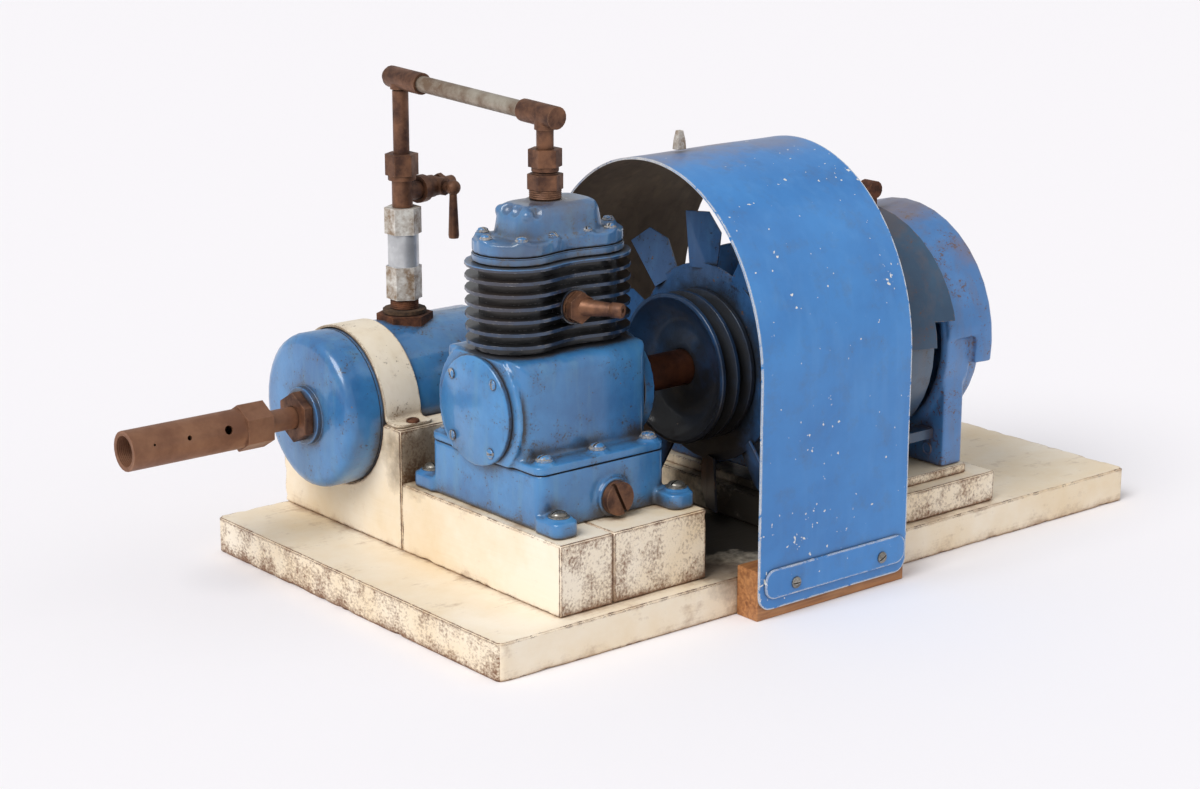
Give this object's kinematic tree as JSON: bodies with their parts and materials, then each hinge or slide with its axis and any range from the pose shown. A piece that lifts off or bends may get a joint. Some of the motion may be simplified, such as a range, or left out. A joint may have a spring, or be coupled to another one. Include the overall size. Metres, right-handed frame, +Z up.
{
  "type": "air compressor",
  "caption": "Twin-cylinder air compressor coupled straight to its electric motor, with fan, belt pulley, sheet guard, air receiver and pipework, on a painted wooden board.",
  "frame": {"origin": "centre of the board's underside", "axes": "+X along the board from the receiver's silencer towards the motor, +Y from the front edge to the back, +Z up"},
  "size_m": [0.936, 0.4735, 0.4565],
  "materials": {
    "cream_paint_on_wood": "brushed cream oil paint, worn and soiled",
    "bare_wood": "varnished reddish wood",
    "blue_enamel": "blue enamel, chipped and dusty",
    "navy_enamel": "darker blue enamel, sooty",
    "cream_paint_on_steel": "cream paint, worn",
    "tarnished_brass": "tarnished brass and copper",
    "galvanised_steel": "dull galvanised",
    "machined_steel": "machined",
    "rusty_steel": "brown rust",
    "cast_aluminium": "as cast",
    "core_iron": "laminated iron and windings",
    "fibre_gasket": "brown fibre"
  },
  "bodies": {
    "stand": {"baseboard": "cream_paint_on_wood", "receiver_block": "cream_paint_on_wood", "compressor_batten_left": "cream_paint_on_wood", "compressor_batten_right": "cream_paint_on_wood", "motor_riser": "cream_paint_on_wood", "motor_packer": "cream_paint_on_wood", "guard_batten": "bare_wood", "guard_cleat": "bare_wood", "fan_guard": "blue_enamel", "guard_strip": "blue_enamel", "receiver_body": "blue_enamel", "receiver_cap": "blue_enamel", "sump": "blue_enamel", "crankcase": "blue_enamel", "end_cover": "blue_enamel", "bearing_housing": "blue_enamel", "cylinder_head": "blue_enamel", "motor_shell": "blue_enamel", "front_bell": "blue_enamel", "rear_bell": "blue_enamel", "air_deflector": "blue_enamel", "drip_hood": "blue_enamel", "motor_cradle": "blue_enamel", "cylinder_block": "navy_enamel", "receiver_strap": "cream_paint_on_steel", "hex_bush": "tarnished_brass", "silencer_nipple": "tarnished_brass", "silencer_tube": "tarnished_brass", "brass_tee": "tarnished_brass", "cock_body": "tarnished_brass", "riser_nut": "tarnished_brass", "riser_pipe": "tarnished_brass", "rear_tee": "tarnished_brass", "cross_pipe": "tarnished_brass", "front_tee": "tarnished_brass", "drop_nut": "tarnished_brass", "head_adapter": "tarnished_brass", "drain_plug": "tarnished_brass", "inlet_nozzle": "tarnished_brass", "check_valve": "galvanised_steel", "guard_clip": "galvanised_steel", "front_bearing": "machined_steel", "rear_bearing": "machined_steel", "lifting_lug": "rusty_steel", "stator": "core_iron", "head_gasket": "fibre_gasket", "port_gasket": "fibre_gasket"},
    "drive_line": {"crankshaft": "machined_steel", "shaft_sleeve": "rusty_steel", "pulley": "navy_enamel", "fan": "blue_enamel", "shaft_coupling": "machined_steel", "motor_shaft": "machined_steel", "rotor": "core_iron"},
    "rod_a": {"connecting_rod_a": "cast_aluminium"},
    "rod_b": {"connecting_rod_b": "cast_aluminium"},
    "piston_a_slide": {"piston_a": "cast_aluminium"},
    "piston_b_slide": {"piston_b": "cast_aluminium"},
    "cock_handle": {"cock_lever": "tarnished_brass"},
    "check_disc": {"check_poppet": "machined_steel"}
  },
  "joints": [
    {"name": "drive_spin", "type": "hinge", "parent": "stand", "child": "drive_line", "pos_m": [-0.24, -0.089, 0.191], "axis": [1, 0, 0], "continuous": true},
    {"name": "rod_a_crankpin", "type": "hinge", "parent": "drive_line", "child": "rod_a", "pos_m": [-0.275, -0.089, 0.205], "axis": [1, 0, 0], "continuous": true},
    {"name": "rod_b_crankpin", "type": "hinge", "parent": "drive_line", "child": "rod_b", "pos_m": [-0.201, -0.089, 0.177], "axis": [1, 0, 0], "continuous": true},
    {"name": "piston_a_stroke", "type": "slide", "parent": "stand", "child": "piston_a_slide", "axis": [0, 0, 1], "range_m": [-0.028, 0]},
    {"name": "piston_b_stroke", "type": "slide", "parent": "stand", "child": "piston_b_slide", "axis": [0, 0, 1], "range_m": [0, 0.028]},
    {"name": "cock_turn", "type": "hinge", "parent": "stand", "child": "cock_handle", "pos_m": [-0.1888, 0.11708, 0.34], "axis": [0.2756, -0.9613, 0], "range_deg": [0, 90]},
    {"name": "check_lift", "type": "slide", "parent": "stand", "child": "check_disc", "axis": [0, 0, 1], "range_m": [0, 0.004]}
  ],
  "couplings": [
    {"joint": "rod_a_crankpin", "follows": "drive_spin", "ratio": -1},
    {"joint": "rod_b_crankpin", "follows": "drive_spin", "ratio": -1}
  ]
}
